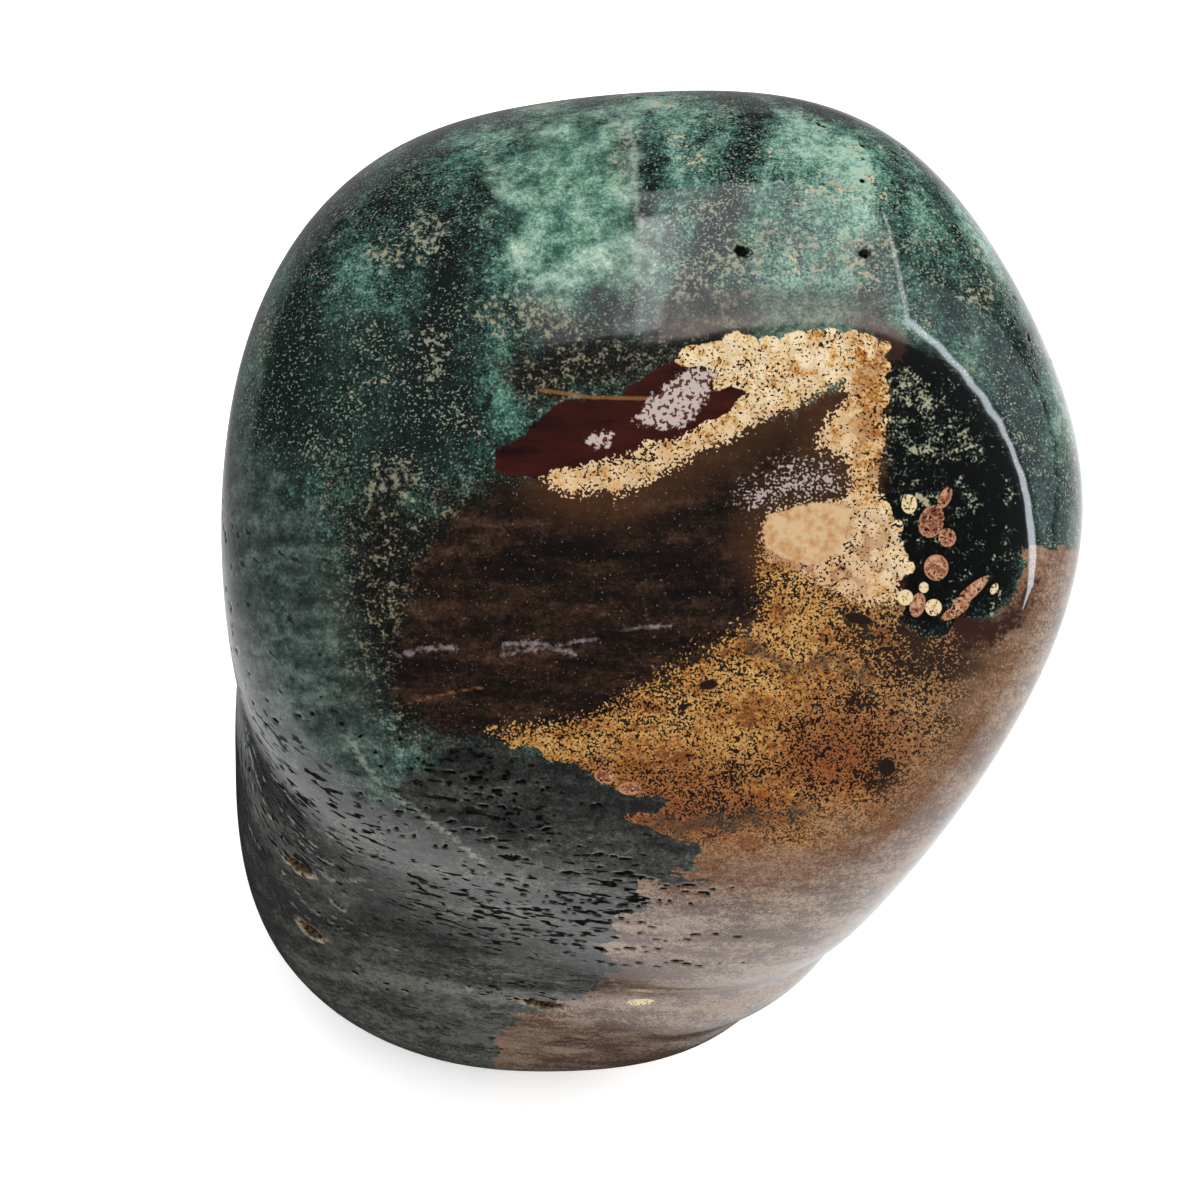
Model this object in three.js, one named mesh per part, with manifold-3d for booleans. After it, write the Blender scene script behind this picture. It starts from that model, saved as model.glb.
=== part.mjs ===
// A polished jasper freeform: one natural stone, ground to broad soft faces and polished all over, standing on a
// small foot that was cut flat. Lengths are in millimetres, +Z is up, and the stone's show face looks towards -Y.
import * as THREE from "three";
import { mergeVertices } from "three/addons/utils/BufferGeometryUtils.js";
import Module from "manifold-3d";

const HEART_HEIGHT = 48; // from the cut foot up to the point that every reach below is measured from
const SHOULDER_SOFTNESS = 7; // low is a pebble, high is a gem with hard edges between its faces
const MESH_DETAIL = 20; // splits of each edge of the icosahedron that the skin starts from

// The broad faces that the wheel ground. Azimuth 0 is the front, 90 the right, 180 the back and 270 the left, in
// degrees, elevation is above the horizon, and reach is how far from the heart the wheel stopped.
const GROUND_FACES = [
  { name: "show face", azimuth: 6, elevation: 57, reach: 38 },
  { name: "brow", azimuth: 0, elevation: 22, reach: 41 },
  { name: "front wall", azimuth: 350, elevation: -6, reach: 34.5 },
  { name: "front left wall", azimuth: 318, elevation: -10, reach: 50 },
  { name: "front right wall", azimuth: 46, elevation: -14, reach: 37.5 },
  { name: "right flank", azimuth: 74, elevation: -16, reach: 33 },
  { name: "right side", azimuth: 107, elevation: 12, reach: 43 },
  { name: "left side", azimuth: 256, elevation: 4, reach: 40 },
  { name: "left wall", azimuth: 288, elevation: 5, reach: 42 },
  { name: "right back", azimuth: 120, elevation: 20, reach: 50.5 },
  { name: "left back", azimuth: 226, elevation: 24, reach: 54.5 },
  { name: "back wall", azimuth: 180, elevation: -8, reach: 42 },
  { name: "back crown", azimuth: 180, elevation: 34, reach: 50 },
  { name: "crown", azimuth: 210, elevation: 75, reach: 51.5 },
  { name: "right underside", azimuth: 68, elevation: -42, reach: 42 },
  { name: "front underside", azimuth: 324, elevation: -50, reach: 54 },
  { name: "left underside", azimuth: 265, elevation: -50, reach: 64 },
  { name: "back underside", azimuth: 180, elevation: -40, reach: 50 },
];

// Hollows and swells that were in the rough nodule and that the polish follows. Each is a band that runs round the
// stone at a height, fading to both sides of an azimuth. Depth is into the stone, so a swell has a negative depth.
const WAVES = [
  { name: "waist", azimuth: 290, span: 34, height: 50, rise: 0, width: 12, depth: 1.2 },
  { name: "toe", azimuth: 308, span: 34, height: 5, rise: 0, width: 19, depth: -6 },
  { name: "upper flute", azimuth: 10, span: 60, height: 34, rise: 2, width: 3.5, depth: 1.1 },
  { name: "lower flute", azimuth: 25, span: 55, height: 21, rise: 3, width: 3.5, depth: 0.8 },
];

const radians = THREE.MathUtils.degToRad;

// The unit vector of an azimuth and an elevation.
function direction(azimuth, elevation) {
  const [a, e] = [radians(azimuth), radians(elevation)];
  return new THREE.Vector3(Math.sin(a) * Math.cos(e), -Math.cos(a) * Math.cos(e), Math.sin(e));
}

const groundFaces = GROUND_FACES.map((face) => ({ ...face, normal: direction(face.azimuth, face.elevation) }));

// How far the ground skin lies from the heart along a unit vector. The faces are blended as a power mean, so that
// each pair meets in a soft shoulder.
function groundReach(unit) {
  let sum = 0;
  for (const face of groundFaces) {
    sum += Math.max(0, unit.dot(face.normal) / face.reach) ** SHOULDER_SOFTNESS;
  }
  return sum ** (-1 / SHOULDER_SOFTNESS);
}

// The smallest turn between two azimuths, in degrees.
function azimuthBetween(a, b) {
  return Math.abs(((a - b + 540) % 360) - 180);
}

// How deep all the waves cut at a point of the skin, whose height is from the foot.
function waveDepth(point) {
  const azimuth = (THREE.MathUtils.radToDeg(Math.atan2(point.x, -point.y)) + 360) % 360;
  let depth = 0;
  for (const wave of WAVES) {
    const turn = azimuthBetween(azimuth, wave.azimuth) / wave.span;
    const sideways = Math.sin(radians(azimuth - wave.azimuth));
    const off = (point.z - wave.height - wave.rise * sideways) / wave.width;
    depth += wave.depth * Math.exp(-turn * turn - off * off);
  }
  return depth;
}

// The whole skin, closed, before the foot is cut.
function skin() {
  const geometry = new THREE.IcosahedronGeometry(1, MESH_DETAIL);
  geometry.deleteAttribute("normal");
  geometry.deleteAttribute("uv");
  const merged = mergeVertices(geometry, 1e-5);
  const positions = merged.getAttribute("position");
  const point = new THREE.Vector3();
  for (let i = 0; i < positions.count; i++) {
    const unit = point.fromBufferAttribute(positions, i).normalize().clone();
    point.copy(unit).multiplyScalar(groundReach(unit));
    point.z += HEART_HEIGHT;
    point.addScaledVector(unit, -waveDepth(point));
    positions.setXYZ(i, point.x, point.y, point.z);
  }
  return merged;
}

const wasm = await Module();
wasm.setup();

// A closed three.js geometry as a solid that can be cut.
function solidOf(geometry) {
  return new wasm.Manifold(
    new wasm.Mesh({
      numProp: 3,
      vertProperties: new Float32Array(geometry.getAttribute("position").array),
      triVerts: new Uint32Array(geometry.index.array),
    }),
  );
}

// A solid as a three.js geometry.
function geometryOf(solid) {
  const mesh = solid.getMesh();
  return new THREE.BufferGeometry()
    .setAttribute("position", new THREE.BufferAttribute(new Float32Array(mesh.vertProperties), 3))
    .setIndex(new THREE.BufferAttribute(new Uint32Array(mesh.triVerts), 1));
}

// The saw's side of the foot plane: everything under height 0 is taken off.
function sawnOff() {
  const side = 400;
  const block = new THREE.BoxGeometry(side, side, side);
  block.translate(0, 0, -side / 2);
  block.deleteAttribute("normal");
  block.deleteAttribute("uv");
  return mergeVertices(block, 1e-5);
}

const cut = geometryOf(solidOf(skin()).subtract(solidOf(sawnOff())));
cut.computeBoundingBox();
const middle = cut.boundingBox.getCenter(new THREE.Vector3());
cut.translate(-middle.x, -middle.y, 0);
cut.computeVertexNormals();

const jasper = new THREE.MeshStandardMaterial({ color: 0x2f4640, roughness: 0.12, metalness: 0 });
const stone = new THREE.Mesh(cut, jasper);
stone.name = "jasper_stone";

const group = new THREE.Group();
group.name = "polished_jasper_freeform";
group.add(stone);

export default group;
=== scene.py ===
# %% [markdown]
# # A polished jasper freeform
# One natural stone, ground to broad soft faces and polished until it mirrors the room. Its shape is already right in
# the CAD model. What Blender adds is the skin of the real thing: the open pits, the colour zones of green moss, cream
# orbs, chocolate, maroon, gold and slate, and a gloss that shows soft windows.
#
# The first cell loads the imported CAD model. Its frame is the frame of everything below: metres, +Z up, and the show
# face of the stone looking towards -Y.

# %% Load the stone's frame
import math
import random

import bmesh
import bpy
import numpy as np
from mathutils import Matrix, Vector, noise
from mathutils.bvhtree import BVHTree


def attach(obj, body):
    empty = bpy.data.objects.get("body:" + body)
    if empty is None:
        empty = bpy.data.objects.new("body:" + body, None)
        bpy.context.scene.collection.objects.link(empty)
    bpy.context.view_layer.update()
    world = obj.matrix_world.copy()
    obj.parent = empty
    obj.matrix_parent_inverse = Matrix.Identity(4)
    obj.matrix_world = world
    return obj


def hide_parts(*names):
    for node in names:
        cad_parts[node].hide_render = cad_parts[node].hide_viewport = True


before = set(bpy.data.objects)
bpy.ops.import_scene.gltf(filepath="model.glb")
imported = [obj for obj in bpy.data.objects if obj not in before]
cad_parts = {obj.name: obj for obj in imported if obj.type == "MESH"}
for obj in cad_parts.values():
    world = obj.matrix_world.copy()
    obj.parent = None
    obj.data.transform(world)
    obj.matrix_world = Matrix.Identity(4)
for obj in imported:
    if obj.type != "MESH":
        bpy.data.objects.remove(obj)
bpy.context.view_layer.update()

MM = 0.001

# %% [markdown]
# ## The camera
# The photograph looks down on the stone from about 56 degrees above the table, from close by. A camera could be
# placed by eye, but then nothing would line up. Here it is placed by the angle, the distance and the focal length
# that were worked out from how the pits at the front are foreshortened and from the outline of the stone.

# %% The camera
FRAME_PX = 1200
FOCAL_PX = 2737
SENSOR_MM = 36
VIEW_ELEVATION = math.radians(56)
CAMERA_DISTANCE = 0.260
AIM = Vector((-0.0024, 0.0, 0.0455))

scene = bpy.context.scene
lens = bpy.data.cameras.new("photograph_camera")
lens.sensor_width = SENSOR_MM
lens.lens = FOCAL_PX / FRAME_PX * SENSOR_MM
camera = bpy.data.objects.new("photograph_camera", lens)
scene.collection.objects.link(camera)
TO_CAMERA = Vector((0, -math.cos(VIEW_ELEVATION), math.sin(VIEW_ELEVATION)))
camera.location = AIM + TO_CAMERA * CAMERA_DISTANCE
camera.rotation_euler = (math.pi / 2 - VIEW_ELEVATION, 0, 0)
scene.camera = camera
print("the lens is %.1f mm, the camera stands at %s" % (lens.lens, tuple(round(c, 4) for c in camera.location)))

# %% [markdown]
# ## Laying shader nodes
# Every finish below is a network of nodes. Written out in full, each node takes three or four lines, so a small
# helper lays a node, sets it and feeds its inputs in one line. It knows nothing about stone.

# %% A tray for laying nodes
class Tray:
    """One node tree, and the few moves that lay nodes in it."""

    def __init__(self, tree):
        self.tree = tree

    def feed(self, socket, value):
        """Gives a socket a number, a colour, or the output of another node."""
        if isinstance(value, bpy.types.NodeSocket):
            self.tree.links.new(value, socket)
        else:
            socket.default_value = value

    def lay(self, kind, inputs=None, **settings):
        """Lays one node with its settings and its inputs, by name or by number."""
        node = self.tree.nodes.new("ShaderNode" + kind)
        for name, value in settings.items():
            setattr(node, name, value)
        for socket, value in (inputs or {}).items():
            self.feed(node.inputs[socket], value)
        return node

    def sum(self, operation, *values):
        """A Math node on one, two or three values."""
        return self.lay("Math", dict(enumerate(values)), operation=operation).outputs[0]

    def times(self, *values):
        """The product of two values or more."""
        product = values[0]
        for value in values[1:]:
            product = self.sum("MULTIPLY", product, value)
        return product

    def mix(self, share, under, over):
        """One colour laid over another by a mask."""
        node = self.lay("Mix", {0: share, 6: under, 7: over}, data_type="RGBA")
        return node.outputs[2]

    def noise(self, place, scale, detail=2.0, rough=0.5, distort=0.0):
        """Cloudy noise between 0 and 1, with features about 1 / scale across."""
        inputs = {"Vector": place, "Scale": scale, "Detail": detail, "Roughness": rough, "Distortion": distort}
        return self.lay("TexNoise", inputs).outputs[0]

    def cells(self, place, scale):
        """How far a point is from the middle of its cell, in the units of the place."""
        node = self.lay("TexVoronoi", {"Vector": place, "Scale": scale})
        return self.sum("DIVIDE", node.outputs["Distance"], scale)

    def step(self, value, low, high):
        """0 below low, 1 above high, with a soft rise between."""
        node = self.lay("MapRange", {0: value, 1: low, 2: high}, interpolation_type="SMOOTHSTEP")
        return node.outputs[0]

    def fade(self, value, start, end, low, high):
        """A number that goes evenly from low to high while the value goes from start to end."""
        return self.lay("MapRange", {0: value, 1: start, 2: end, 3: low, 4: high}).outputs[0]

    def ramp(self, value, *stops):
        """A colour for each value, from places and colour codes."""
        node = self.lay("ValToRGB", {0: value})
        elements = node.color_ramp.elements
        while len(elements) < len(stops):
            elements.new(0.5)
        for element, (place, code) in zip(elements, stops):
            element.position = place
            element.color = stain(code)
        return node.outputs[0]


def stain(code, strength=0.85):
    """A colour as the eye reads it, turned into the light that a surface sends back."""
    shares = [int(code[i:i + 2], 16) / 255 for i in (1, 3, 5)]
    linear = [s / 12.92 if s <= 0.04045 else ((s + 0.055) / 1.055) ** 2.4 for s in shares]
    return (*[strength * value for value in linear], 1.0)


print("a clean cream sends back red %.2f, green %.2f and blue %.2f" % stain("#ead5b0")[:3])

# %% [markdown]
# ## The table
# The photograph has a blown-out white table and one soft shadow close to the stone. A white sheet would do for that,
# but a polished stone also mirrors the table, and an even white would lay a grey veil over the slate. So the paper
# has two faces. The camera sees white paper that glows a little. Mirrored rays see a table that is dark in the shade
# of the stone, bright round it, and dim again behind it and far off, and that gives the flutes their bands.

# %% The table
WHITE = (1.0, 1.0, 1.0, 1.0)
FLOOR_SIDE = 3.0
TABLE_WHITE = (0.95, 0.95, 0.95, 1.0)
TABLE_ROUGHNESS = 0.9
TABLE_GLOW = 0.38
MIRRORED_IN_SHADE = 0.02
MIRRORED_NEAR = 1.00
MIRRORED_BEHIND = 0.18
MIRRORED_FAR_FRONT = 0.12
MIRRORED_FAR_RIGHT = 0.55
# where the mirrored table changes, in metres: round a point, towards the left back, forward and to the right
SHADE_MIDDLE = (-0.022, -0.012, 0)
SHADE_EDGE = (0.035, 0.048)
LEFT_BACK = (-0.8, 1, 0)
BEHIND_EDGE = (0.02, 0.13)
FRONT_EDGE = (-0.076, -0.110)
RIGHT_EDGE = (0.12, 0.25)
floor_mesh = bpy.data.meshes.new("table_top")
sheet = bmesh.new()
bmesh.ops.create_grid(sheet, x_segments=1, y_segments=1, size=FLOOR_SIDE / 2)
sheet.to_mesh(floor_mesh)
sheet.free()
floor = bpy.data.objects.new("table_top", floor_mesh)
scene.collection.objects.link(floor)
paper = bpy.data.materials.new("white_paper")
paper.use_nodes = True
paper_shader = paper.node_tree.nodes["Principled BSDF"]
paper_shader.inputs["Base Color"].default_value = TABLE_WHITE
paper_shader.inputs["Roughness"].default_value = TABLE_ROUGHNESS
paper_shader.inputs["Specular IOR Level"].default_value = 0.0
paper_shader.inputs["Emission Color"].default_value = WHITE
paper_shader.inputs["Emission Strength"].default_value = TABLE_GLOW
tray = Tray(paper.node_tree)
on_table = tray.lay("TexCoord").outputs["Object"]
from_shade = tray.lay("VectorMath", {0: on_table, 1: SHADE_MIDDLE}, operation="SUBTRACT").outputs[0]
distance = tray.lay("VectorMath", {0: from_shade}, operation="LENGTH").outputs["Value"]
round_stone = tray.fade(distance, *SHADE_EDGE, MIRRORED_IN_SHADE, MIRRORED_NEAR)
to_left_back = tray.lay("VectorMath", {0: on_table, 1: LEFT_BACK}, operation="DOT_PRODUCT").outputs["Value"]
behind = tray.fade(to_left_back, *BEHIND_EDGE, 1.0, MIRRORED_BEHIND)
table_parts = tray.lay("SeparateXYZ", {0: on_table}).outputs
far_front = tray.fade(table_parts["Y"], *FRONT_EDGE, 1.0, MIRRORED_FAR_FRONT)
far_right = tray.fade(table_parts["X"], *RIGHT_EDGE, 1.0, MIRRORED_FAR_RIGHT)
brightness = tray.times(round_stone, behind, far_front, far_right)
mirrored_table = tray.lay("Emission", {"Color": WHITE, "Strength": brightness})
is_mirrored = tray.lay("LightPath").outputs["Is Glossy Ray"]
both_faces = tray.lay("MixShader", {0: is_mirrored, 1: paper_shader.outputs[0], 2: mirrored_table.outputs[0]})
tray.feed(paper.node_tree.nodes["Material Output"].inputs["Surface"], both_faces.outputs[0])
floor_mesh.materials.append(paper)
print("the table is %.1f m wide, and mirrors as %.2f to %.2f" % (FLOOR_SIDE, MIRRORED_IN_SHADE, MIRRORED_NEAR))

# %% [markdown]
# ## The room
# The stone was lit from everywhere, a little more from the right and from behind. A sun lamp would throw a hard
# shadow, so the world itself is brighter towards that side. Mirrored rays see a dark room instead, because a white
# one would turn every dark colour of the polish grey.

# %% The room
ROOM_SHADY_SIDE = 0.52
ROOM_SUNNY_SIDE = 2.32
SUNNY_SIDE = (0.66, 0.40, 0.64)
SUNNY_SPREAD = (-0.2, 1.0)
MIRRORED_ROOM = 0.05
scene.view_settings.view_transform = "Standard"
room = bpy.data.worlds.new("white_room")
room.use_nodes = True
scene.world = room
room.cycles.sampling_method = "NONE"
air = Tray(room.node_tree)
mirrored = air.lay("LightPath").outputs["Is Glossy Ray"]
daylight = room.node_tree.nodes["Background"]
air.feed(daylight.inputs["Color"], WHITE)
towards = air.lay("VectorMath", {0: air.lay("TexCoord").outputs["Generated"], 1: SUNNY_SIDE},
                  operation="DOT_PRODUCT").outputs["Value"]
room_light = air.fade(towards, *SUNNY_SPREAD, ROOM_SHADY_SIDE, ROOM_SUNNY_SIDE)
air.feed(daylight.inputs["Strength"], air.fade(mirrored, 0.0, 1.0, room_light, MIRRORED_ROOM))
print("the room shines at %.2f to %.2f, and mirrors as %.2f" % (ROOM_SHADY_SIDE, ROOM_SUNNY_SIDE, MIRRORED_ROOM))

# %% [markdown]
# ## The windows in the polish
# The gloss shows a pane overhead with bright edges, and a tall narrow window at the right that bends over the
# shoulder. Painted on the stone they would stay put when it is turned. So they are cards that shine, each placed by
# the direction in which the polish mirrors it. Only mirrored rays see them, because the room lights the stone
# already, and the light of small bright cards would be grainy.

# %% Windows as shining cards
CARD_HEART = Vector((0, 0, 0.08))


def heading(azimuth, elevation):
    """The direction at an azimuth from the front towards the right and an elevation, both in degrees."""
    a, e = math.radians(azimuth), math.radians(elevation)
    return Vector((math.sin(a) * math.cos(e), -math.cos(a) * math.cos(e), math.sin(e)))


def shining_card(name, corners, distance, colour, strength):
    """A card whose corners lie in the given directions from the stone, and that shines at it."""
    card = bmesh.new()
    card.faces.new([card.verts.new(CARD_HEART + distance * corner) for corner in corners])
    mesh = bpy.data.meshes.new(name)
    card.to_mesh(mesh)
    card.free()
    glow = bpy.data.materials.new(name)
    glow.use_nodes = True
    glow.node_tree.nodes.remove(glow.node_tree.nodes["Principled BSDF"])
    tray = Tray(glow.node_tree)
    shine = tray.lay("Emission", {"Color": stain(colour), "Strength": strength}).outputs[0]
    tray.feed(glow.node_tree.nodes["Material Output"].inputs["Surface"], shine)
    glow.cycles.emission_sampling = "NONE"
    mesh.materials.append(glow)
    piece = bpy.data.objects.new(name, mesh)
    scene.collection.objects.link(piece)
    piece.visible_camera = False
    piece.visible_diffuse = False
    piece.visible_shadow = False


def overhead(across, forward):
    """The direction of a point on a ceiling one metre up: metres to the right, and metres to the back."""
    return Vector((across, forward, 1.0))


CARD_DISTANCE = 1.0
BAR_DISTANCE = 0.98
CARDS = [
    # name, corners, distance, colour and strength; a bar stands a little nearer than the pane that it edges
    ("window_overhead",
     [overhead(0.065, -0.165), overhead(0.41, -0.150), overhead(0.56, 0.75), overhead(-0.06, 0.75)],
     CARD_DISTANCE, "#ffffff", 1.9),
    ("window_near_edge",
     [overhead(0.065, -0.178), overhead(0.42, -0.162), overhead(0.43, -0.110), overhead(0.062, -0.125)],
     BAR_DISTANCE, "#fff4ea", 3.2),
    ("window_right_edge",
     [overhead(0.425, -0.11), overhead(0.455, -0.105), overhead(0.60, 0.70), overhead(0.585, 0.70)],
     BAR_DISTANCE, "#ffffff", 7.0),
    ("window_left_edge",
     [overhead(0.048, -0.14), overhead(0.062, -0.14), overhead(-0.005, 0.45), overhead(-0.03, 0.45)],
     BAR_DISTANCE, "#ffffff", 5.5),
    ("window_overhead_left",
     [overhead(0.0, -0.14), overhead(0.045, -0.137), overhead(-0.03, 0.40), overhead(-0.07, 0.12)],
     CARD_DISTANCE, "#ffffff", 1.3),
    ("window_right",
     [heading(78, 66), heading(83, 66), heading(82.5, 43), heading(78, 32), heading(70, 6), heading(64, 6),
      heading(72.5, 32), heading(79, 43)],
     CARD_DISTANCE, "#e6eef6", 13.0),
    ("wall_beside_window",
     [heading(86, 64), heading(108, 58), heading(114, 30), heading(114, 4), heading(92, 3), heading(75, 6),
      heading(81, 32), heading(86, 43)],
     CARD_DISTANCE, "#eef2ff", 0.9),
]
for card in CARDS:
    shining_card(*card)
print("%d windows and walls stand round the stone" % len(CARDS))

# %% [markdown]
# ## The skin of the stone
# The CAD skin has facets about 2.4 mm across, which a mirror polish would show. A copy of it is merged and
# subdivided, so that light glides over it. The edge of the cut foot is creased first, because the saw left it crisp.
# A much finer copy is kept aside as a template: every point that is added later is laid on it, so that no patch
# turns flat.

# %% A smooth template from the CAD stone
TEMPLATE_LEVEL = 3
SAME_POINT = 1e-6
DOWNWARD = -0.999
ON_FOOT = 1e-5
cad_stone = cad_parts["jasper_stone"]
work = bmesh.new()
work.from_mesh(cad_stone.data)
bmesh.ops.remove_doubles(work, verts=work.verts, dist=SAME_POINT)
crease = work.edges.layers.float.new("crease_edge")
for edge in work.edges:
    downward = [face.normal.z < DOWNWARD for face in edge.link_faces]
    if len(downward) == 2 and downward[0] != downward[1]:
        edge[crease] = 1.0
merged_mesh = bpy.data.meshes.new("merged_stone")
work.to_mesh(merged_mesh)
carrier = bpy.data.objects.new("merged_stone", merged_mesh)
scene.collection.objects.link(carrier)
divide = carrier.modifiers.new("Subdivision", "SUBSURF")
divide.levels = TEMPLATE_LEVEL
divide.render_levels = TEMPLATE_LEVEL
graph = bpy.context.evaluated_depsgraph_get()
template_mesh = bpy.data.meshes.new_from_object(carrier.evaluated_get(graph))
print("the template has %d faces" % len(template_mesh.polygons))

# %% [markdown]
# ## The faint waves of hand polishing
# A wheel that is held by hand never leaves a stone perfectly even, and a window that it mirrors looks a little bent.
# A bump in the finish would do it for the light only, so the template itself is moved in and out by a slow noise, a
# hundredth of a millimetre or so, and the skin takes it over.

# %% Faint waves
WAVE_HEIGHT = 0.016
WAVE_STEPS_PER_MM = 0.13
template_points = np.zeros(len(template_mesh.vertices) * 3)
template_normals = np.zeros(len(template_mesh.vertices) * 3)
template_mesh.vertices.foreach_get("co", template_points)
template_mesh.vertices.foreach_get("normal", template_normals)
template_points = template_points.reshape(-1, 3)
steps = template_points / MM * WAVE_STEPS_PER_MM
waves = np.array([noise.noise(Vector(step)) for step in steps]) - 0.5
waves[template_points[:, 2] < ON_FOOT] = 0
template_points += template_normals.reshape(-1, 3) * (waves * WAVE_HEIGHT * MM)[:, None]
template_mesh.vertices.foreach_set("co", template_points.ravel())
template_work = bmesh.new()
template_work.from_mesh(template_mesh)
template = BVHTree.FromBMesh(template_work)
template_work.free()
bpy.data.objects.remove(carrier)
bpy.data.meshes.remove(merged_mesh)
print("the waves are up to %.3f mm high" % (np.abs(waves).max() * WAVE_HEIGHT))


# %% [markdown]
# ## A finer skin
# A point that is added between old points lies on a flat face, a little inside the round stone. So each new point is
# moved to the nearest place on the template. The foot is left as flat as the saw cut it.

# %% Cut the skin finer and lay it on the template
def cut_finer(faces, cuts):
    """Cuts faces into smaller ones and lays the new points on the template, but leaves the flat foot alone."""
    edges = {edge for face in faces for edge in face.edges}
    result = bmesh.ops.subdivide_edges(work, edges=list(edges), cuts=cuts, use_grid_fill=True)
    for vert in {item for item in result["geom_inner"] if isinstance(item, bmesh.types.BMVert)}:
        if vert.co.z > ON_FOOT:
            vert.co = template.find_nearest(vert.co)[0]


cut_finer([face for face in work.faces if face.normal.z > DOWNWARD], 1)
for vert in work.verts:
    if vert.co.z > ON_FOOT:
        vert.co = template.find_nearest(vert.co)[0]
print("the skin has %d faces" % len(work.faces))

# %% [markdown]
# ## The show face's own directions
# Most of the colour zones are seen, and were sketched, on the show face. So they are given in millimetres across,
# up and out of it, from its middle. The across direction is the world's +X, and out of the face is towards the
# camera of the photograph. The back has its own plane: to the right as seen from behind, up, and back.

# %% Planes to sketch on
ACROSS = np.array([1.0, 0.0, 0.0])
UPWARD = np.array([0.0, math.sin(VIEW_ELEVATION), math.cos(VIEW_ELEVATION)])
OUTWARD = np.array([0.0, -math.cos(VIEW_ELEVATION), math.sin(VIEW_ELEVATION)])


def on_show_face(points):
    """Points in metres as millimetres across, up and out of the show face."""
    return (points - np.array(AIM)) @ np.array([ACROSS, UPWARD, OUTWARD]).T / MM


def from_behind(points):
    """Points in metres as millimetres to the right, up and towards a viewer behind the stone."""
    return points @ np.array([[-1.0, 0, 0], [0, 0, 1.0], [0, 1.0, 0]]).T / MM


print("out of the show face is towards", tuple(OUTWARD.round(2)))

# %% [markdown]
# ## Open pits
# Orbicular jasper is full of small holes that the polish opened. They are real dents, so their shape is pressed into
# the mesh and not painted: the skin is cut finer only where a pit lies, the new points are laid on the template, and
# then each is pushed in by the shape of its pit. How deep a point went is kept as an attribute, so that the finish
# can paint shade inside, nearly black. The larger hollows are placed one by one. The small ones are scattered in rows
# by dice with a fixed seed, so that they fall in the same places each time.

# %% Where the pits lie
HEART = Vector((0, 0, 0.048))
HOLLOWS = [
    # name, azimuth and elevation from the heart, half length, half width and depth in mm, tilt in degrees
    ("lined hollow at the left", -47, -6.6, 2.2, 0.9, 0.8, -32),
    ("brown hollow at the left", -47, -23, 1.5, 1.1, 0.7, -10),
    ("small hollow beside it", -40.6, -9.8, 0.8, 0.4, 0.4, 20),
    ("lens at the front foot", -12.5, -26.6, 2.2, 0.6, 0.5, 0),
    ("hollow on the crown", 101, 78.6, 0.6, 0.5, 0.4, 30),
    ("hollow on the right crown", 96, 67, 0.5, 0.4, 0.4, 10),
    ("crack at the top", 172, 60, 0.9, 0.3, 0.3, 0),
    ("crack beside it", 178, 61, 0.6, 0.3, 0.3, 20),
]
PIT_FIELDS = [
    # name, azimuths, elevations, rows, pits in a row, half length range in mm, tilt of the rows in degrees
    ("slate streak", (-34, -12), (22, 34), 14, 7, (0.22, 0.65), -16),
    ("under the ridge", (-32, 2), (-8, 18), 20, 6, (0.20, 0.65), -6),
    ("left flank", (-66, -34), (-16, 32), 30, 4, (0.20, 0.60), -30),
    ("toe", (-52, 0), (-42, -14), 13, 5, (0.18, 0.50), -4),
    ("left rim", (-100, -62), (4, 46), 14, 3, (0.18, 0.45), 0),
    ("right rim", (80, 115), (25, 52), 12, 3, (0.18, 0.45), 0),
    ("crown rim", (105, 190), (46, 68), 18, 3, (0.18, 0.50), 0),
    ("back", (130, 250), (-30, 40), 22, 4, (0.20, 0.50), 10),
]
ROW_STEP_DEGREES = 1.9
LINED_FROM = 0.75  # half length in mm from which a hollow has a pale lining
LEAST_WIDTH = 0.13
WIDTH_SHARES = (0.24, 0.40)
SMALLNESS = 1.8  # above 1, small pits are commoner than large ones
LEAST_DEPTH = 0.16
DEPTH_SHARE = 0.8
TURN_DEGREES = 14
STRIDES = (0.5, 1.6)
STRAY_DEGREES = 0.9
dice = random.Random(11)


def pit_at(azimuth, elevation, length, width, depth, tilt):
    """One pit: its middle on the skin, its three directions and its three half sizes."""
    spot, normal, _, _ = template.ray_cast(HEART, heading(azimuth, elevation))
    level = Vector((0, 0, 1)).cross(normal).normalized()
    along = Matrix.Rotation(math.radians(-tilt), 3, normal) @ level
    return {"spot": spot, "normal": normal, "along": along, "beside": normal.cross(along),
            "length": length * MM, "width": width * MM, "depth": depth * MM, "lined": length > LINED_FROM}


pits = [pit_at(*hollow[1:]) for hollow in HOLLOWS]
for name, azimuths, elevations, rows, per_row, lengths, tilt in PIT_FIELDS:
    for _ in range(rows):
        azimuth = dice.uniform(*azimuths)
        elevation = dice.uniform(*elevations)
        for _ in range(dice.randint(max(1, per_row - 3), per_row + 2)):
            length = lengths[0] + (lengths[1] - lengths[0]) * dice.random() ** SMALLNESS
            width = max(LEAST_WIDTH, length * dice.uniform(*WIDTH_SHARES))
            depth = LEAST_DEPTH + width * DEPTH_SHARE
            turned = tilt + dice.uniform(-TURN_DEGREES, TURN_DEGREES)
            pits.append(pit_at(azimuth, elevation, length, width, depth, turned))
            stride = dice.uniform(*STRIDES) * ROW_STEP_DEGREES
            azimuth += stride
            elevation += stride * math.sin(math.radians(tilt)) + dice.gauss(0, STRAY_DEGREES)
print("%d pits" % len(pits))

# %% [markdown]
# ## Veins, spots and finer patches
# Veins and single orbs are narrower than the faces of the skin, and a number that is kept for each point can't be
# sharper than the points are close. So their lines and ellipses are listed here, and the skin is cut finer along
# them, on the show face and round each pit. Cutting all of it would take millions of faces.

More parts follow.
